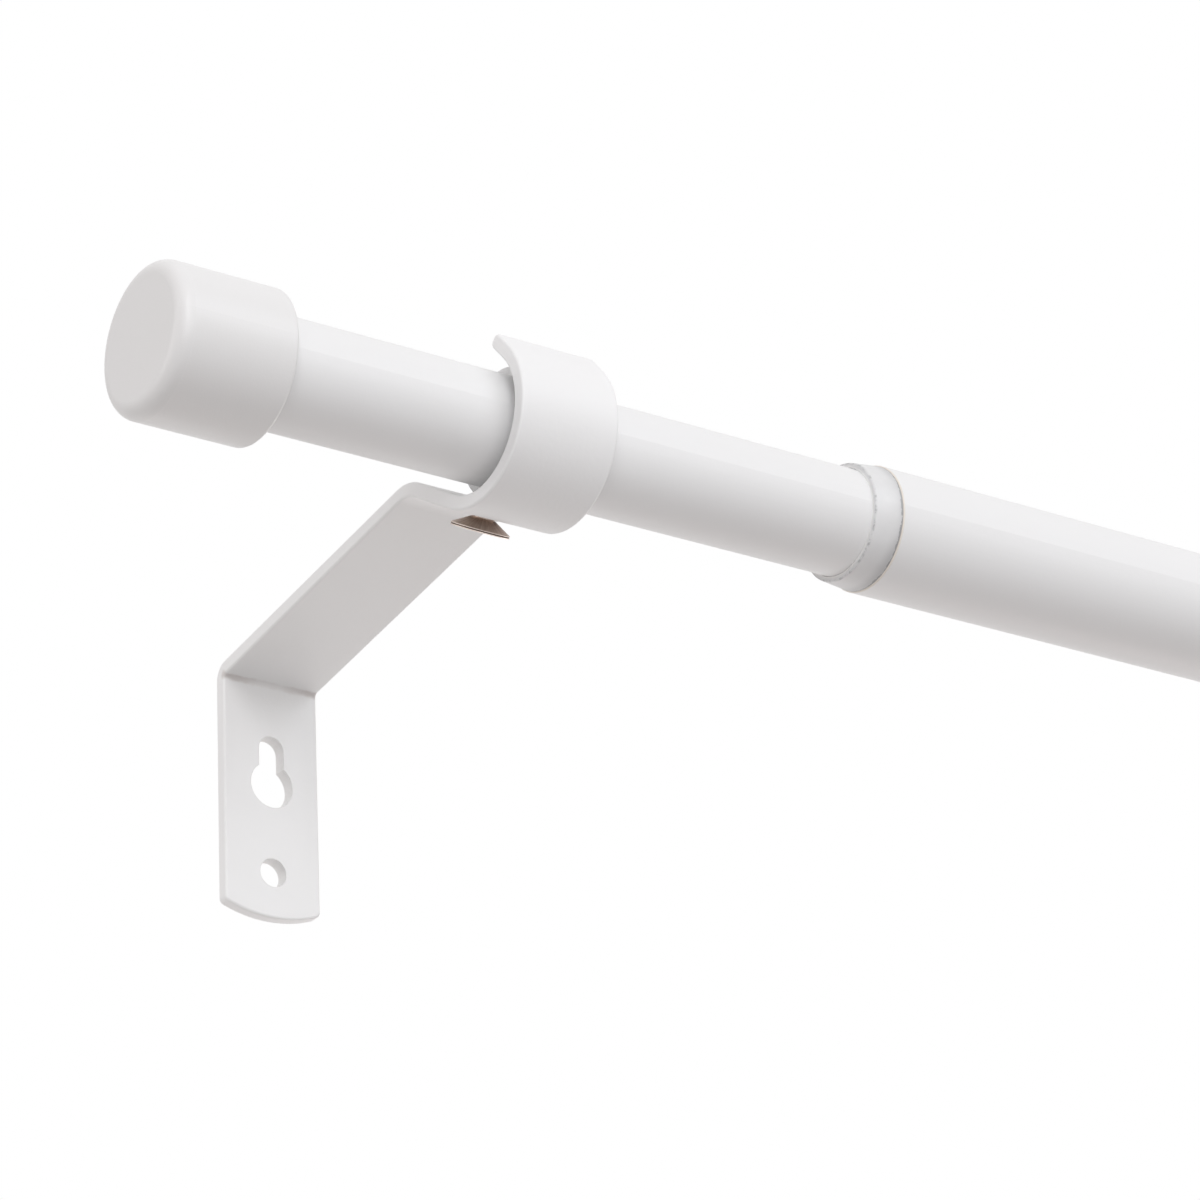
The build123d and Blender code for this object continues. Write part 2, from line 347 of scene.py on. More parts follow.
# %% Distance helper
def parts_of(tree, place):
    """The x, y and z of a vector, as three sockets."""
    split = add(tree, "ShaderNodeSeparateXYZ")
    tree.links.new(place, split.inputs[0])
    return split.outputs[0], split.outputs[1], split.outputs[2]


def distance(tree, across, up, centre_across, centre_up):
    """Distance in a plane from a centre."""
    first = math_step(tree, "SUBTRACT", across, centre_across)
    second = math_step(tree, "SUBTRACT", up, centre_up)
    square = math_step(tree, "MULTIPLY_ADD", second, second, math_step(tree, "MULTIPLY", first, first))
    return math_step(tree, "SQRT", square)


print("distance helper ready")

# %% [markdown]
# ## Painted tubes
# Such tubes are rolled from thin steel strip, welded, and painted satin white on the outside. Faint lines run
# along them from rolling. The cut end has just a breath of paint, which looks cream, and the inside is taken
# to be steel with a dust of stray paint. Separate materials for outside, end and inside would do, but here
# distances from the rod's centre line and from its end tell one finish where it is.

# %% Tube paint
WHITE_PAINT = (0.836, 0.838, 0.837, 1)
CUT_END = (0.78, 0.70, 0.60, 1)
CUT_SHARE = 0.75
CUT_FADE = (0.05, 0.4)
INSIDE_BARE = 0.55
INSIDE_FADE = (0.1, 0.3)
ROLLING_STRETCH = (0.012, 1.0, 1.0)
LINES_PER_MM = 1.4
LINES_RELIEF = 0.6
TUBE_PEEL_MM = 1.3
TUBE_RELIEF_MM = 0.012
ROD_Y, ROD_Z = -70.0, 34.5
MOUTH = 60.0
TUBES = {
    # node: (radius of its bore, x of its left end)
    "thin_tube": (7.3, -58.0),
    "thick_tube": (8.8, MOUTH),
}


def tube_paint(name, bore, start):
    """Satin white outside, cream at the cut end and nearly bare steel inside."""
    finish, tree, shader = new_finish(name + "_paint")
    place = millimetres(tree)
    x, y, z = parts_of(tree, place)
    off_bore = math_step(tree, "SUBTRACT", distance(tree, y, z, ROD_Y, ROD_Z), bore)
    inside = ramp_step(tree, off_bore, *INSIDE_FADE, INSIDE_BARE, 0.0)
    cut = ramp_step(tree, math_step(tree, "SUBTRACT", x, start), *CUT_FADE, CUT_SHARE, 0.0)
    white = blend_colour(tree, cut, WHITE_PAINT, CUT_END)
    skin = use_group(tree, paint_skin, colour=white, peel_size=TUBE_PEEL_MM)
    coat = use_group(tree, thin_coat, colour=skin["Colour"], roughness=skin["Roughness"], bare=inside)
    stretch = add(tree, "ShaderNodeMapping")
    tree.links.new(place, stretch.inputs["Vector"])
    stretch.inputs["Scale"].default_value = ROLLING_STRETCH
    lines = noise(tree, stretch.outputs[0], LINES_PER_MM)
    feed(tree, shader["Base Color"], coat["Colour"])
    feed(tree, shader["Roughness"], coat["Roughness"])
    feed(tree, shader["Metallic"], coat["Metallic"])
    height = math_step(tree, "MULTIPLY_ADD", lines, LINES_RELIEF, skin["Height"])
    feed(tree, shader["Normal"], bump(tree, height, TUBE_RELIEF_MM))
    return finish


def dress(node, finish):
    """Gives a solid its finish."""
    mesh = nodes[node].data
    mesh.materials.clear()
    mesh.materials.append(finish)


for name, (bore, start) in TUBES.items():
    dress(name, tube_paint(name, bore, start))
print("tubes painted:", ", ".join(TUBES))

# %% [markdown]
# ## Brackets: where the powder coat is thin
# The strip is punched, bent and powder coated. The coat is thin on the walls of the punched holes, and the
# tapped hole is left bare, as such holes are usually tapped after coating. These spots could be painted by
# hand on the mesh. Here they are gaps to the holes' outlines, so their borders stay sharp however near the
# camera comes. Both brackets share one finish: the x coordinate wraps round at their spacing.

# %% Thin spots of the brackets' coat
BRACKET_SPACING = 617.0
# Holes in the plate: height or heights, then radius, in millimetres.
ROUND_HOLE = (-6.9, 2.2)
KEYHOLE_HEAD = (6.9, 3.55)
KEYHOLE_SLOT = (6.9, 12.5, 2.1)
PUNCHED_BARE = 0.45
PUNCHED_FADE = (0.02, 0.25)
# The straight run before the hook falls by this angle. The screw's axis meets its inner face at this (y, z).
RUN_FALL = math.radians(31.9)
SCREW_SEAT = (-61.182, 28.442)
TAPPED_RADIUS = 2.01
TAPPED_FADE = (0.05, 0.3)
TAPPED_TOP = (2.0, 3.0)

bracket_paint, tree, shader = new_finish("bracket_powder_coat")
x, y, z = parts_of(tree, millimetres(tree))
x = math_step(tree, "WRAP", x, BRACKET_SPACING / 2, -BRACKET_SPACING / 2)
round_gap = math_step(tree, "SUBTRACT", distance(tree, x, z, 0.0, ROUND_HOLE[0]), ROUND_HOLE[1])
head_gap = math_step(tree, "SUBTRACT", distance(tree, x, z, 0.0, KEYHOLE_HEAD[0]), KEYHOLE_HEAD[1])
slot_low, slot_high, slot_radius = KEYHOLE_SLOT
nearest = math_step(tree, "MINIMUM", math_step(tree, "MAXIMUM", z, slot_low), slot_high)
slot_gap = math_step(tree, "SUBTRACT", distance(tree, x, z, 0.0, nearest), slot_radius)
gap = math_step(tree, "MINIMUM", math_step(tree, "MINIMUM", round_gap, head_gap), slot_gap)
punched = ramp_step(tree, gap, *PUNCHED_FADE, PUNCHED_BARE, 0.0)

out_of_seat = math_step(tree, "SUBTRACT", y, SCREW_SEAT[0])
over_seat = math_step(tree, "SUBTRACT", z, SCREW_SEAT[1])
level_part = math_step(tree, "MULTIPLY", out_of_seat, -math.cos(RUN_FALL))
along = math_step(tree, "MULTIPLY_ADD", over_seat, -math.sin(RUN_FALL), level_part)
tapped_gap = math_step(tree, "SUBTRACT", distance(tree, x, along, 0.0, 0.0), TAPPED_RADIUS)
tapped = ramp_step(tree, tapped_gap, *TAPPED_FADE, 1.0, 0.0)
low_down = ramp_step(tree, over_seat, *TAPPED_TOP, 1.0, 0.0)
bare = math_step(tree, "MAXIMUM", punched, math_step(tree, "MULTIPLY", tapped, low_down))
print("thin spots of the coat:", len(tree.nodes), "nodes")

# %% [markdown]
# ## Brackets: the powder coat
# The coat is a little coarser than the tubes' paint. In the inner corner of the bend the photograph shows a
# fine wrinkle, warmer than the rest and clearest near the strip's two edges. A crease in the mesh would be
# too regular,
# so it is a line of colour with a ripple: painted shade in the crease, which also stands for the wrinkle. In
# the photograph the arm and the plate also look whiter than one coat all over would in this light. More light
# on them would wash out the tubes, so their coat is simply paler: painted light, which is a choice for the
# picture and not a known fact of the bracket.

# %% Bracket paint
POWDER_HOOK = (0.866, 0.868, 0.867, 1)
# The arm and the plate get a paler copy of the same coat: painted light, in place of more light on them.
POWDER_ARM_PAINTED_LIGHT = (0.935, 0.940, 0.937, 1)
HOOK_TO_ARM = (-62.0, -46.0)
# The crease runs along the inner corner of the bend, at this (y, z).
CREASE = (-2.2, 22.96)
# Painted shade: a dark, warm line in the inner corner of the bend, which also stands for the press wrinkle
# there.
CREASE_SHADE = (0.66, 0.62, 0.60, 1)
CREASE_SHARE = 0.75
CREASE_FADE = (-0.35, 0.35)
CREASE_ENDS = (1.0, 6.0)
CREASE_MIDDLE = 0.4
RIPPLES_PER_MM = 0.45
RIPPLE_MM = -1.1
POWDER_RELIEF_MM = 0.02

# Paler towards the arm and the plate: painted light.
powder = blend_colour(tree, ramp_step(tree, y, *HOOK_TO_ARM), POWDER_HOOK, POWDER_ARM_PAINTED_LIGHT)
ripple = noise(tree, millimetres(tree), RIPPLES_PER_MM, detail=3.0, roughness=0.6)
# The crease line is painted shade. It is rippled, fainter in the middle and strongest near the strip's two
# edges.
from_crease = math_step(tree, "MULTIPLY_ADD", ripple, RIPPLE_MM, distance(tree, y, z, *CREASE))
painted_crease_shade = ramp_step(tree, from_crease, *CREASE_FADE, CREASE_SHARE, 0.0)
to_edges = ramp_step(tree, math_step(tree, "ABSOLUTE", x), *CREASE_ENDS, CREASE_MIDDLE, 1.0)
powder_with_crease_shade = blend_colour(tree, math_step(tree, "MULTIPLY", painted_crease_shade, to_edges), powder, CREASE_SHADE)
skin = use_group(tree, paint_skin, colour=powder_with_crease_shade, peel_size=0.8, tone_drift=0.03, specks=0.25, gloss=0.46)
coat = use_group(tree, thin_coat, colour=skin["Colour"], roughness=skin["Roughness"], bare=bare)
feed(tree, shader["Base Color"], coat["Colour"])
feed(tree, shader["Roughness"], coat["Roughness"])
feed(tree, shader["Metallic"], coat["Metallic"])
feed(tree, shader["Normal"], bump(tree, skin["Height"], POWDER_RELIEF_MM))
for name in ("left_bracket", "right_bracket"):
    dress(name, bracket_paint)
print("bracket finish:", len(tree.nodes), "nodes")

# %% [markdown]
# ## Moulded plastic
# The caps have the soft shine of plastic from a mould with a fine texture. Its grain is far finer than the
# paint's peel, and the plastic's flow leaves a faint drift of tone. The hidden plug and sleeve are plain
# plastic, so instead of a finish of their own they take the same group with a duller colour.

# %% Moulded skin group and the two plastics
FLOW_PER_MM = 0.09
FLOW_BEND = 0.8
FLOW_RELIEF = 0.5
MOULD_ROUGHNESS = 0.27
MOULD_GRAIN = 0.14
CAP_WHITE = (0.798, 0.795, 0.79, 1)
INNER_GREY = (0.66, 0.66, 0.64, 1)

moulded_skin, given, result = new_group(
    "moulded_skin",
    {"Colour": ("colour", (0.8, 0.8, 0.8, 1)), "Grain size": ("value", 0.25), "Flow marks": ("value", 0.02)},
    {"Colour": "colour", "Roughness": "value", "Height": "value"},
)
place = millimetres(moulded_skin)
per_mm = math_step(moulded_skin, "DIVIDE", 1.0, given["Grain size"])
grain = noise(moulded_skin, place, per_mm, detail=3.0, roughness=0.6)
flow = noise(moulded_skin, place, FLOW_PER_MM, distortion=FLOW_BEND)
tone = math_step(moulded_skin, "MULTIPLY_ADD", centred(moulded_skin, flow), given["Flow marks"], 1.0)
moulded_skin.links.new(toned(moulded_skin, given["Colour"], tone), result["Colour"])
dull = math_step(moulded_skin, "MULTIPLY_ADD", grain, MOULD_GRAIN, MOULD_ROUGHNESS)
moulded_skin.links.new(dull, result["Roughness"])
moulded_skin.links.new(math_step(moulded_skin, "MULTIPLY_ADD", flow, FLOW_RELIEF, grain), result["Height"])


def moulded(name, colour, grain_size, relief_mm):
    """Plain moulded plastic."""
    finish, tree, shader = new_finish(name)
    skin = use_group(tree, moulded_skin, colour=colour, grain_size=grain_size)
    feed(tree, shader["Base Color"], skin["Colour"])
    feed(tree, shader["Roughness"], skin["Roughness"])
    feed(tree, shader["Normal"], bump(tree, skin["Height"], relief_mm))
    return finish


cap_plastic = moulded("cap_plastic", CAP_WHITE, grain_size=0.3, relief_mm=0.012)
inner_plastic = moulded("inner_plastic", INNER_GREY, grain_size=0.5, relief_mm=0.02)
for name in ("left_end_cap", "right_end_cap"):
    dress(name, cap_plastic)
for name in ("guide_plug", "left_cap_sleeve"):
    dress(name, inner_plastic)
print("moulded finishes:", cap_plastic.name, inner_plastic.name)

# %% [markdown]
# ## Clear plastic: painted lines at its edges
# The collar at the joint and the sleeve in the hook are clear but a little milky, and their edges get lines
# painted into their colour: a broken grey painted shade round the collar's nose, a light painted highlight
# where it meets the tube, and a ragged grey painted shadow in the mouth of the thick tube, with a soft
# painted shade before it above and below. Pure glass with perfect edges would give clean lines, so these are
# masks, broken up by noise.

# %% Lines in the clear plastic
# The collar's nose and lip are circles round the rod: x, then radius, in millimetres.
COLLAR_NOSE = (55.52, 8.76)
COLLAR_LIP = (55.4, 8.12)
NOSE_SHARE = 0.8
NOSE_FADE = (0.08, 0.24)
NOSE_BREAKS = (0.42, 0.68)
NOSE_FAINTEST = 0.1
LIP_SHARE = 0.9
LIP_FADE = (0.12, 0.34)
MOUTH_SHARE = 0.8
MOUTH_FADE = (-0.32, -0.12)
MOUTH_RAGS = 1.2
RAGS_PER_MM = 0.9
SEAT_SHARE = 0.26
SEAT_FADE = (-2.0, -0.4)
SEAT_SPAN = (3.0, 7.5)
SLEEVE_HALF = 3.75
SLEEVE_INNER = 8.05

clear, tree, shader = new_finish("clear_plastic")
place = millimetres(tree)
x, y, z = parts_of(tree, place)
radius = distance(tree, y, z, ROD_Y, ROD_Z)
rags = noise(tree, place, RAGS_PER_MM, detail=4.0, roughness=0.7)
breaks = ramp_step(tree, rags, *NOSE_BREAKS, NOSE_FAINTEST, 1.0)
# Painted shade: a broken grey line round the collar's nose.
whole_painted_nose_shade = ramp_step(tree, distance(tree, x, radius, *COLLAR_NOSE), *NOSE_FADE, NOSE_SHARE, 0.0)
painted_nose_shade = math_step(tree, "MULTIPLY", whole_painted_nose_shade, breaks)

# Painted highlight: a light line where the collar and the sleeve meet the tube.
collar_lip = distance(tree, x, radius, *COLLAR_LIP)
sleeve_lip = distance(tree, math_step(tree, "ABSOLUTE", x), radius, SLEEVE_HALF, SLEEVE_INNER)
painted_lip_highlight = ramp_step(tree, math_step(tree, "MINIMUM", collar_lip, sleeve_lip), *LIP_FADE, LIP_SHARE, 0.0)

# Painted shadow: a ragged grey line in the mouth of the thick tube, with painted shade before it above and
# below.
past_mouth = math_step(tree, "SUBTRACT", x, MOUTH)
ragged = math_step(tree, "MULTIPLY_ADD", centred(tree, rags), MOUTH_RAGS, past_mouth)
painted_mouth_shadow = ramp_step(tree, ragged, *MOUTH_FADE, 0.0, MOUTH_SHARE)
off_centre = math_step(tree, "ABSOLUTE", math_step(tree, "SUBTRACT", z, ROD_Z))
above_and_below = ramp_step(tree, off_centre, *SEAT_SPAN)
near_mouth = ramp_step(tree, past_mouth, *SEAT_FADE, 0.0, SEAT_SHARE)
seat_shade = math_step(tree, "MULTIPLY", near_mouth, above_and_below)
painted_edge_shades = math_step(tree, "MAXIMUM", math_step(tree, "MAXIMUM", painted_nose_shade, painted_mouth_shadow), seat_shade)
print("lines in the clear plastic:", len(tree.nodes), "nodes")

# %% [markdown]
# ## Clear plastic: the finish
# Fully clear plastic would need many bounces of light and would show the tube almost untouched. The real one
# looks milky, so most of it is a pale body colour and a quarter lets light through. Rays from the lamps pass
# straight on, or the tube under the plastic would be black with shadow.

# %% Clear plastic
MILK = (0.79, 0.79, 0.792, 1)
MILK_LIGHT = (0.87, 0.87, 0.87, 1)
EDGE_PAINTED_SHADE = (0.34, 0.34, 0.35, 1)
EDGE_PAINTED_HIGHLIGHT = (0.97, 0.96, 0.95, 1)
SHADOW_TINT = (0.9, 0.91, 0.9, 1)
CLEAR_SHARE = 0.25
PLASTIC_IOR = 1.49
CLEAR_ROUGHNESS = 0.30
HAZE_PER_MM = 0.5
HAZE_ROUGHNESS = 0.12
WAVES_PER_MM = 0.8
WAVES_RELIEF_MM = 0.02

haze = noise(tree, place, HAZE_PER_MM, detail=3.0)
milky = blend_colour(tree, haze, MILK, MILK_LIGHT)
# The painted shades and the painted highlight go into the body colour.
lined = blend_colour(tree, painted_edge_shades, blend_colour(tree, painted_lip_highlight, milky, EDGE_PAINTED_HIGHLIGHT), EDGE_PAINTED_SHADE)
feed(tree, shader["Base Color"], lined)
feed(tree, shader["Roughness"], math_step(tree, "MULTIPLY_ADD", haze, HAZE_ROUGHNESS, CLEAR_ROUGHNESS))
feed(tree, shader["Normal"], bump(tree, noise(tree, place, WAVES_PER_MM), WAVES_RELIEF_MM))
shader["Transmission Weight"].default_value = CLEAR_SHARE
shader["IOR"].default_value = PLASTIC_IOR

ray = add(tree, "ShaderNodeLightPath")
through = add(tree, "ShaderNodeBsdfTransparent")
through.inputs["Color"].default_value = SHADOW_TINT
either = add(tree, "ShaderNodeMixShader")
tree.links.new(ray.outputs["Is Shadow Ray"], either.inputs["Fac"])
tree.links.new(tree.nodes["Principled BSDF"].outputs[0], either.inputs[1])
tree.links.new(through.outputs[0], either.inputs[2])
tree.links.new(either.outputs[0], tree.nodes["Material Output"].inputs["Surface"])
for name in ("joint_collar", "hook_sleeve"):
    dress(name, clear)
print("clear plastic:", len(tree.nodes), "nodes")

# %% [markdown]
# ## The sleeve in the hook
# A split sleeve makes the thin tube as thick as the hook expects. Its ends have a soft round lip, which peeps
# out above the tube. A bevel could round the solid's ends, but the solid is also about half a millimetre
# short at each end. So the sleeve is made again: its outline, with rounded corners, is swept round the rod
# and left open at the slit on the hook's open side.

# %% Lipped sleeve
SLEEVE_OUTER = 9.5
SLEEVE_LIP = 0.4
LIP_STEPS = 5
SLIT_ANGLE, SLIT_HALF_ANGLE = math.radians(128.0), math.radians(9.8)
SLEEVE_STEPS = 120
SLEEVE_SHARP = math.radians(40)


def sleeve_outline():
    """Points (along the rod, radius) round the sleeve's wall."""
    corner = [math.radians(90 * k / LIP_STEPS) for k in range(LIP_STEPS + 1)]
    reach, top = SLEEVE_HALF - SLEEVE_LIP, SLEEVE_OUTER - SLEEVE_LIP
    left = [(-reach - SLEEVE_LIP * math.cos(a), top + SLEEVE_LIP * math.sin(a)) for a in corner]
    right = [(-along, radius) for along, radius in reversed(left)]
    return [(-SLEEVE_HALF, SLEEVE_INNER)] + left + right + [(SLEEVE_HALF, SLEEVE_INNER)]


def swept_sleeve():
    """The outline swept round the rod from one side of the slit to the other."""
    mesh = bmesh.new()
    slices = []
    for step in range(SLEEVE_STEPS + 1):
        angle = SLIT_ANGLE + SLIT_HALF_ANGLE + (2 * math.pi - 2 * SLIT_HALF_ANGLE) * step / SLEEVE_STEPS
        out, up = -math.cos(angle), math.sin(angle)
        ring = [(along, ROD_Y + radius * out, ROD_Z + radius * up) for along, radius in sleeve_outline()]
        slices.append([mesh.verts.new(Vector(point) * MM) for point in ring])
    for near, far in zip(slices, slices[1:]):
        for k in range(len(near)):
            after = (k + 1) % len(near)
            mesh.faces.new((near[k], near[after], far[after], far[k]))
    mesh.faces.new(slices[0])
    mesh.faces.new(slices[-1])
    bmesh.ops.recalc_face_normals(mesh, faces=mesh.faces)
    for face in mesh.faces:
        face.smooth = True
    return mesh


def as_object(name, mesh):
    """A bmesh made into an object in the scene."""
    data = bpy.data.meshes.new(name)
    mesh.to_mesh(data)
    mesh.free()
    piece = bpy.data.objects.new(name, data)
    scene.collection.objects.link(piece)
    return piece


sleeve = as_object("hook_sleeve_lipped", swept_sleeve())
sleeve.data.set_sharp_from_angle(angle=SLEEVE_SHARP)
sleeve.data.materials.append(clear)
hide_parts("hook_sleeve")
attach(sleeve, "left_support")
print("sleeve faces:", len(sleeve.data.polygons))

# %% [markdown]
# ## Clamp screws: the thread
# Each bracket has one short countersunk machine screw. The CAD model keeps a plain shank. A bump could fake
# the thread, but its outline shows when the screw is backed out, so the screw is made again from rings of
# points. In the shank their radius follows a helix.

# %% Thread rings
SCREW_TIP = -0.652
SCREW_LENGTH = 5.0
RIM_HEIGHT = 0.45
CONE_HEIGHT = 1.5
SCREW_TOP = SCREW_TIP + SCREW_LENGTH
RIM = SCREW_TOP - RIM_HEIGHT
CONE = RIM - CONE_HEIGHT
CREST_RADIUS = 1.93
THREAD_DEPTH = 0.34
ROOT_RADIUS = CREST_RADIUS - THREAD_DEPTH
PITCH = 0.7
TOOTH_SLOPE = 1.35
TOOTH_ROOT = 0.15
FADE_IN = 0.6 * PITCH
FADE_OUT = 0.3 * PITCH
TIP_LEAD = 0.12
AROUND = 96
RINGS_TO_A_TURN = 14


def thread_radius(height, angle):
    """Radius of the thread at a height and angle, fading to the root at both ends."""
    phase = (height / PITCH - angle / (2 * math.pi)) % 1.0
    tooth = min(1.0, max(0.0, TOOTH_SLOPE * (1 - abs(2 * phase - 1)) - TOOTH_ROOT))
    fade = min(1.0, (height - SCREW_TIP) / FADE_IN, (CONE - height) / FADE_OUT)
    return CREST_RADIUS - THREAD_DEPTH * (1 - tooth * max(0.0, fade))


def thread_rings():
    """Rings of (radius, height) from just above the tip to the head."""
    low = SCREW_TIP + TIP_LEAD
    steps = round((CONE - SCREW_TIP) / PITCH * RINGS_TO_A_TURN)
    angles = [2 * math.pi * k / AROUND for k in range(AROUND)]
    heights = [low + (CONE - low) * step / steps for step in range(steps + 1)]
    return [[(thread_radius(height, angle), height) for angle in angles] for height in heights]


print("thread rings:", len(thread_rings()))

# %% [markdown]
# ## Clamp screws: the head
# Under its flat face the head is a cone, and a shallow groove runs round its rim. A plain cone with a bevel
# would be quicker, but the groove catches a dark line. So one outline goes up from the shank to the face, and
# each of its points becomes a ring like those of the thread.

# %% Screw body
HEAD_RADIUS = 4.3
TIP_TAPER = 0.35
NECK_GAP = 0.02
NECK_STEP = 0.25
NECK_RISE = 0.1
CONE_STEPS = 6
EDGE_EASE = 0.08
EASE_MIDDLE = (0.02, 0.03)
GROOVE_DEPTH = 0.10
GROOVE_LIP = 0.01
GROOVE_MOUTH = 0.095
GROOVE_FLOOR = 0.055


def head_outline():
    """Points (radius, height) of the head: neck, cone, and a rim with a groove round it."""
    neck_radius, neck_height = ROOT_RADIUS + NECK_STEP, CONE + NECK_RISE
    widening, rise = HEAD_RADIUS - EDGE_EASE - neck_radius, RIM - neck_height
    shares = [step / CONE_STEPS for step in range(CONE_STEPS + 1)]
    cone = [(neck_radius + widening * share, neck_height + rise * share) for share in shares]
    ease_in, ease_up = EASE_MIDDLE
    middle = RIM + RIM_HEIGHT / 2
    floor_radius, lip = HEAD_RADIUS - GROOVE_DEPTH, HEAD_RADIUS - GROOVE_LIP
    lower_edge = [(HEAD_RADIUS - ease_in, RIM + ease_up), (HEAD_RADIUS, RIM + EDGE_EASE)]
    lower_groove = [(lip, middle - GROOVE_MOUTH), (floor_radius, middle - GROOVE_FLOOR)]
    upper_groove = [(floor_radius, middle + GROOVE_FLOOR), (lip, middle + GROOVE_MOUTH)]
    upper_edge = [(HEAD_RADIUS, SCREW_TOP - EDGE_EASE), (HEAD_RADIUS - ease_in, SCREW_TOP - ease_up)]
    face_edge = [(HEAD_RADIUS - EDGE_EASE, SCREW_TOP)]
    under_head = [(ROOT_RADIUS, CONE + NECK_GAP)]
    return under_head + cone + lower_edge + lower_groove + upper_groove + upper_edge + face_edge


def screw_body():
    """Thread and head without a recess, in metres in the screw's own frame."""
    mesh = bmesh.new()
    tip = [[(ROOT_RADIUS - TIP_TAPER, SCREW_TIP)] * AROUND]
    loops = []
    for ring in tip + thread_rings() + [[point] * AROUND for point in head_outline()]:
        loop = []
        for k, (radius, height) in enumerate(ring):
            angle = 2 * math.pi * k / AROUND
            point = (radius * math.cos(angle) * MM, radius * math.sin(angle) * MM, height * MM)
            loop.append(mesh.verts.new(point))
        loops.append(loop)
    for low, high in zip(loops, loops[1:]):
        for k in range(AROUND):
            after = (k + 1) % AROUND
            mesh.faces.new((low[k], low[after], high[after], high[k]))
    mesh.faces.new(list(reversed(loops[0])))
    mesh.faces.new(loops[-1])
    return mesh


body = as_object("screw_body", screw_body())
print("screw body faces:", len(body.data.polygons))

# %% [markdown]
# ## Clamp screws: the cross recess
# A driver's tip tapers, and so does the cross that it fits. The recess could be built into the rings of the
# head, but it has nothing round about it. It is simpler to build a tapered cross and to cut it out of the
# head with a Boolean.

# %% Cross recess
RECESS_LEVELS = [
    # (height above the head's face, reach of an arm, half of an arm's width)
    (0.3, 2.25, 0.52),
    (-0.9, 1.45, 0.38),
    (-1.35, 0.55, 0.34),
]
SCREW_SHARP = math.radians(28)


def cross_outline(reach, half):
    """Corners of a cross, one arm after the other."""
    corners = []
    for quarter in range(4):
        c, s = round(math.cos(quarter * math.pi / 2)), round(math.sin(quarter * math.pi / 2))
        arm = [(reach, -half), (reach, half), (half, half)]
        corners += [(a * c - b * s, a * s + b * c) for a, b in arm]
    return corners


def cross_cutter():
    """A tapered cross, wide at the head's face and narrow at the bottom of the recess."""
    mesh = bmesh.new()
    loops = []
    for above, reach, half in RECESS_LEVELS:
        height = (SCREW_TOP + above) * MM
        loops.append([mesh.verts.new((a * MM, b * MM, height)) for a, b in cross_outline(reach, half)])
    count = len(loops[0])
    for high, low in zip(loops, loops[1:]):
        for k in range(count):
            after = (k + 1) % count
            mesh.faces.new((high[k], low[k], low[after], high[after]))
    mesh.faces.new(loops[0])
    mesh.faces.new(list(reversed(loops[-1])))
    bmesh.ops.recalc_face_normals(mesh, faces=mesh.faces)
    return mesh


cutter = as_object("screw_cutter", cross_cutter())
cut = body.modifiers.new("recess", "BOOLEAN")
cut.operation = "DIFFERENCE"
cut.solver = "EXACT"
cut.object = cutter
bpy.context.view_layer.update()
screw_mesh = bpy.data.meshes.new_from_object(body.evaluated_get(bpy.context.evaluated_depsgraph_get()))
for piece in (body, cutter):
    bpy.data.objects.remove(piece)
screw_mesh.set_sharp_from_angle(angle=SCREW_SHARP)
print("screw faces:", len(screw_mesh.polygons))

# %% [markdown]
# ## Screw plating
# The screws look like nickel plate with a brown tint. Fine rings run round the axis and streaks run down the
# cone. A painted highlight lies on the rim's two edges, broken up by blotches, and painted shade darkens the
# groove between them. Such marks could be painted onto a picture, but because the mesh lies in the screw's
# own frame, each mask is just a distance from its axis or along it.

# %% Screw plating
PLATE_DARK = (0.50, 0.40, 0.34, 1)
PLATE_LIGHT = (0.70, 0.59, 0.52, 1)
PLATE_PAINTED_HIGHLIGHT = (0.84, 0.74, 0.67, 1)
GROOVE_PAINTED_SHADE = (0.09, 0.06, 0.05, 1)
STREAKS = 9.0
STREAK_FADE = (0.3, 0.7)
HIGHLIGHT_SHARE = 0.55
HIGHLIGHT_BLOTCHES = 0.6
HIGHLIGHT_FADE = (-0.12, -0.03)
GROOVE_SHADE_FADE = (0.10, 0.14)
GROOVE_SHADE_SUNK = (-0.08, -0.03)
GROOVE_SHADE_OUTER = (-0.40, -0.30)
BLOTCHES_PER_MM = 0.9
PLATE_ROUGHNESS = 0.28
PLATE_BLOTCHES = 0.2
RING_WAVES = 42.0
RING_WANDER = 3.0
RING_RELIEF_MM = 0.004

plating, tree, shader = new_finish("screw_plating")
place = millimetres(tree)
x, y, z = parts_of(tree, place)
radius = distance(tree, x, y, 0.0, 0.0)
off_rim = math_step(tree, "SUBTRACT", radius, HEAD_RADIUS)
blotches = noise(tree, place, BLOTCHES_PER_MM, detail=3.0)
round_axis = add(tree, "ShaderNodeCombineXYZ")
feed(tree, round_axis.inputs[0], math_step(tree, "DIVIDE", x, radius))
feed(tree, round_axis.inputs[1], math_step(tree, "DIVIDE", y, radius))
streaks = noise(tree, round_axis.outputs[0], STREAKS, detail=3.0, roughness=0.7)
shaded = blend_colour(tree, ramp_step(tree, streaks, *STREAK_FADE), PLATE_DARK, PLATE_LIGHT)

# Painted highlight on the rim's two edges, broken up by blotches.
uneven = math_step(tree, "MULTIPLY_ADD", blotches, HIGHLIGHT_BLOTCHES, HIGHLIGHT_SHARE)
painted_highlight = math_step(tree, "MULTIPLY", ramp_step(tree, off_rim, *HIGHLIGHT_FADE), uneven)
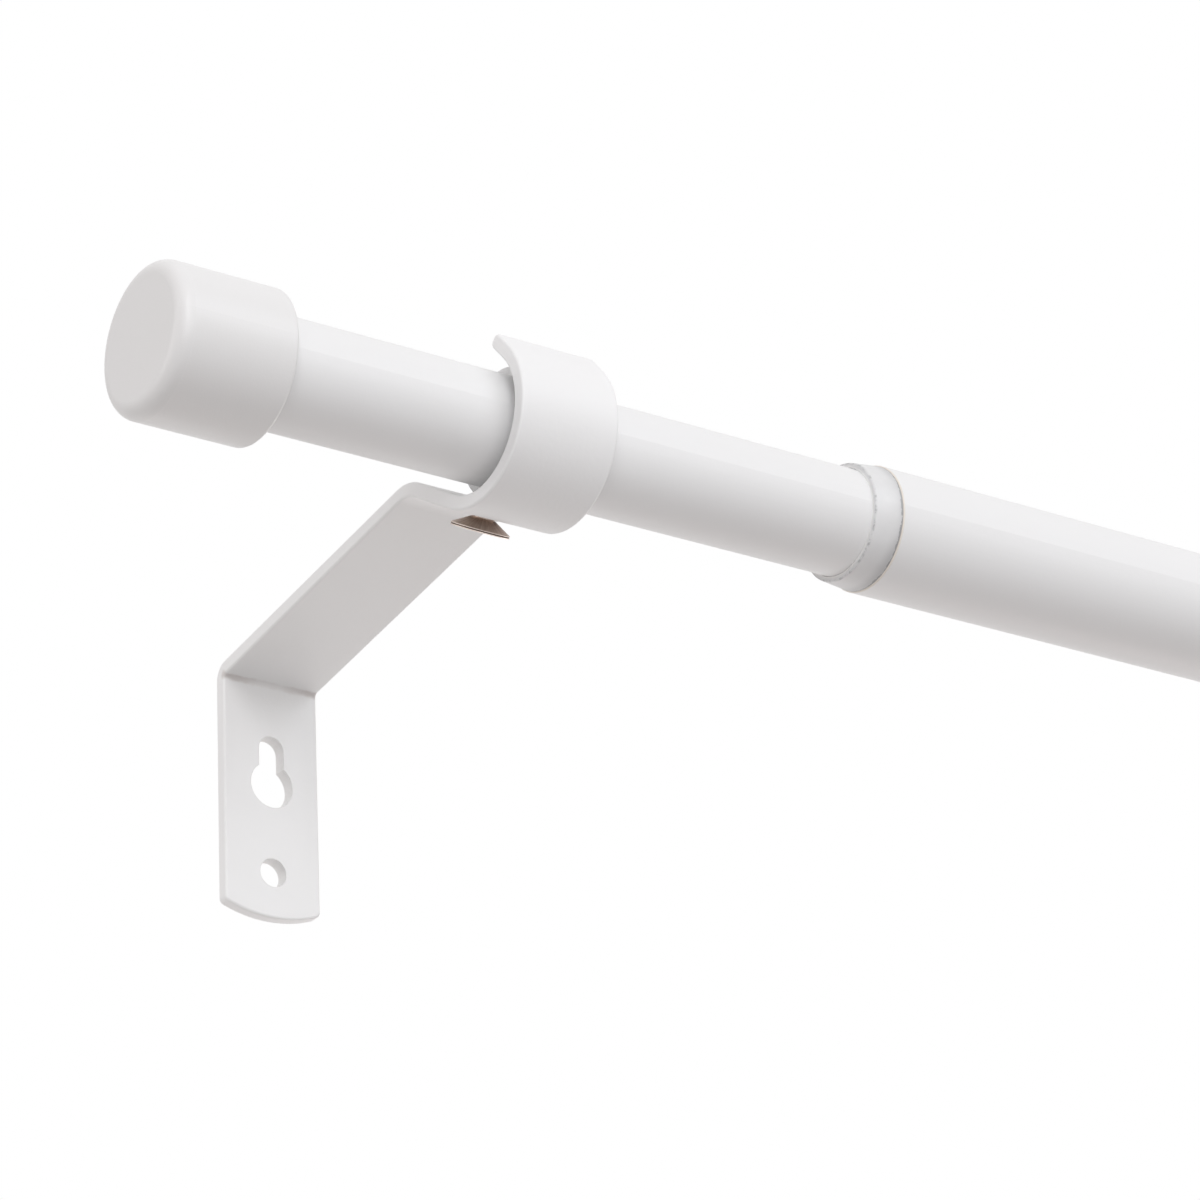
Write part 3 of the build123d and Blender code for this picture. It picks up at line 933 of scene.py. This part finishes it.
# Painted shade in the groove between the rim's two edges.
above_rim = ramp_step(tree, math_step(tree, "SUBTRACT", z, RIM), *GROOVE_SHADE_FADE)
below_face = ramp_step(tree, math_step(tree, "SUBTRACT", SCREW_TOP, z), *GROOVE_SHADE_FADE)
sunk = ramp_step(tree, off_rim, *GROOVE_SHADE_SUNK, 1.0, 0.0)
outer = ramp_step(tree, off_rim, *GROOVE_SHADE_OUTER)
between_edges = math_step(tree, "MULTIPLY", above_rim, below_face)
painted_groove_shade = math_step(tree, "MULTIPLY", between_edges, math_step(tree, "MULTIPLY", sunk, outer))
with_highlight = blend_colour(tree, painted_highlight, shaded, PLATE_PAINTED_HIGHLIGHT)
feed(tree, shader["Base Color"], blend_colour(tree, painted_groove_shade, with_highlight, GROOVE_PAINTED_SHADE))
shader["Metallic"].default_value = 1.0
feed(tree, shader["Roughness"], math_step(tree, "MULTIPLY_ADD", blotches, PLATE_BLOTCHES, PLATE_ROUGHNESS))
wander = math_step(tree, "MULTIPLY", blotches, RING_WANDER)
rings = math_step(tree, "SINE", math_step(tree, "MULTIPLY_ADD", radius, RING_WAVES, wander))
feed(tree, shader["Normal"], bump(tree, rings, RING_RELIEF_MM))
print("plating:", len(tree.nodes), "nodes")

# %% [markdown]
# ## Both screws in their holes
# The screws stand square to the straight run before each hook, with their heads down and towards the wall.
# They could be turned there by angles, but a matrix made of the screw's own three directions leaves no doubt
# about which way is which. Each screw rides on its own body, so that it backs out of its hole.

# %% Place both screws
SCREWS = {
    # node: (x of its bracket, body)
    "left_clamp_screw": (0.0, "left_screw"),
    "right_clamp_screw": (BRACKET_SPACING, "right_screw"),
}
outwards = Vector((0, math.sin(RUN_FALL), -math.cos(RUN_FALL)))
sideways = Vector((1, 0, 0))
facing = Matrix((sideways, outwards.cross(sideways), outwards)).transposed().to_4x4()

for node, (bracket_x, body_name) in SCREWS.items():
    screw = bpy.data.objects.new(node + "_threaded", screw_mesh.copy())
    screw.data.materials.append(plating)
    scene.collection.objects.link(screw)
    screw.matrix_world = Matrix.Translation(Vector((bracket_x, *SCREW_SEAT)) * MM) @ facing
    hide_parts(node)
    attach(screw, body_name)
print("screws:", ", ".join(SCREWS))

# %% [markdown]
# ## The floor
# A plain pale floor lies well below the rod. It takes the shadow, and far out it fades to the white of the
# room. A white floor would throw up so much light that the undersides lost their greys. So the camera, gloss
# and clear plastic see it pale, while the light that bounces off it is that of a darker one.

# %% Floor
FLOOR_HEIGHT = -0.80
FLOOR_MIDDLE = (0.3, -0.1)
FLOOR_HALF = 2.2
FLOOR_SQUARES = 8
FLOOR_PALE = (0.80, 0.79, 0.78, 1)
FLOOR_PALER = (0.84, 0.83, 0.82, 1)
FLOOR_BOUNCE = (0.36, 0.35, 0.345, 1)
FLOOR_ROUGHNESS = 0.9
FLOOR_SHINE = 0.1
CLOUDS_PER_MM = 0.004
FADE_TO_WHITE = (500.0, 1500.0)


def seen_directly(tree):
    """1 for rays from the camera, from gloss and through clear plastic, 0 for diffuse light."""
    ray = add(tree, "ShaderNodeLightPath")
    seen = math_step(tree, "MAXIMUM", ray.outputs["Is Camera Ray"], ray.outputs["Is Glossy Ray"])
    return math_step(tree, "MAXIMUM", seen, ray.outputs["Is Transmission Ray"])


slab = bmesh.new()
bmesh.ops.create_grid(slab, x_segments=FLOOR_SQUARES, y_segments=FLOOR_SQUARES, size=FLOOR_HALF)
floor = as_object("floor", slab)
floor.location = (*FLOOR_MIDDLE, FLOOR_HEIGHT)

floor_finish, tree, shader = new_finish("pale_floor")
place = millimetres(tree)
pale = blend_colour(tree, noise(tree, place, CLOUDS_PER_MM, detail=3.0), FLOOR_PALE, FLOOR_PALER)
looked_at = seen_directly(tree)
feed(tree, shader["Base Color"], blend_colour(tree, looked_at, FLOOR_BOUNCE, pale))
shader["Roughness"].default_value = FLOOR_ROUGHNESS
shader["Specular IOR Level"].default_value = FLOOR_SHINE
x, y = parts_of(tree, place)[:2]
far = ramp_step(tree, distance(tree, x, y, 0.0, 0.0), *FADE_TO_WHITE)
white = add(tree, "ShaderNodeEmission")
either = add(tree, "ShaderNodeMixShader")
tree.links.new(math_step(tree, "MULTIPLY", far, looked_at), either.inputs["Fac"])
tree.links.new(tree.nodes["Principled BSDF"].outputs[0], either.inputs[1])
tree.links.new(white.outputs[0], either.inputs[2])
tree.links.new(either.outputs[0], tree.nodes["Material Output"].inputs["Surface"])
floor.data.materials.append(floor_finish)
print("floor at", FLOOR_HEIGHT, "m")

# %% [markdown]
# ## The white room
# Behind the rod there is only white. A lit wall could stand there, but a world is simpler and has no corners.
# It is white where it is looked at, and dimmer as a source of light, so that the softboxes still shape the
# tubes.

# %% World
AMBIENT = (0.548, 0.526, 0.524, 1)
ROOM_WHITE = (1, 1, 1, 1)

world = bpy.data.worlds.new("white_room")
world.use_nodes = True
scene.world = world
tree = world.node_tree
tree.nodes.clear()
backdrop = add(tree, "ShaderNodeBackground")
backdrop.inputs["Color"].default_value = ROOM_WHITE
fill = add(tree, "ShaderNodeBackground")
fill.inputs["Color"].default_value = AMBIENT
either = add(tree, "ShaderNodeMixShader")
tree.links.new(seen_directly(tree), either.inputs["Fac"])
tree.links.new(fill.outputs[0], either.inputs[1])
tree.links.new(backdrop.outputs[0], either.inputs[2])
out = add(tree, "ShaderNodeOutputWorld")
tree.links.new(either.outputs[0], out.inputs["Surface"])
print("world:", len(tree.nodes), "nodes")
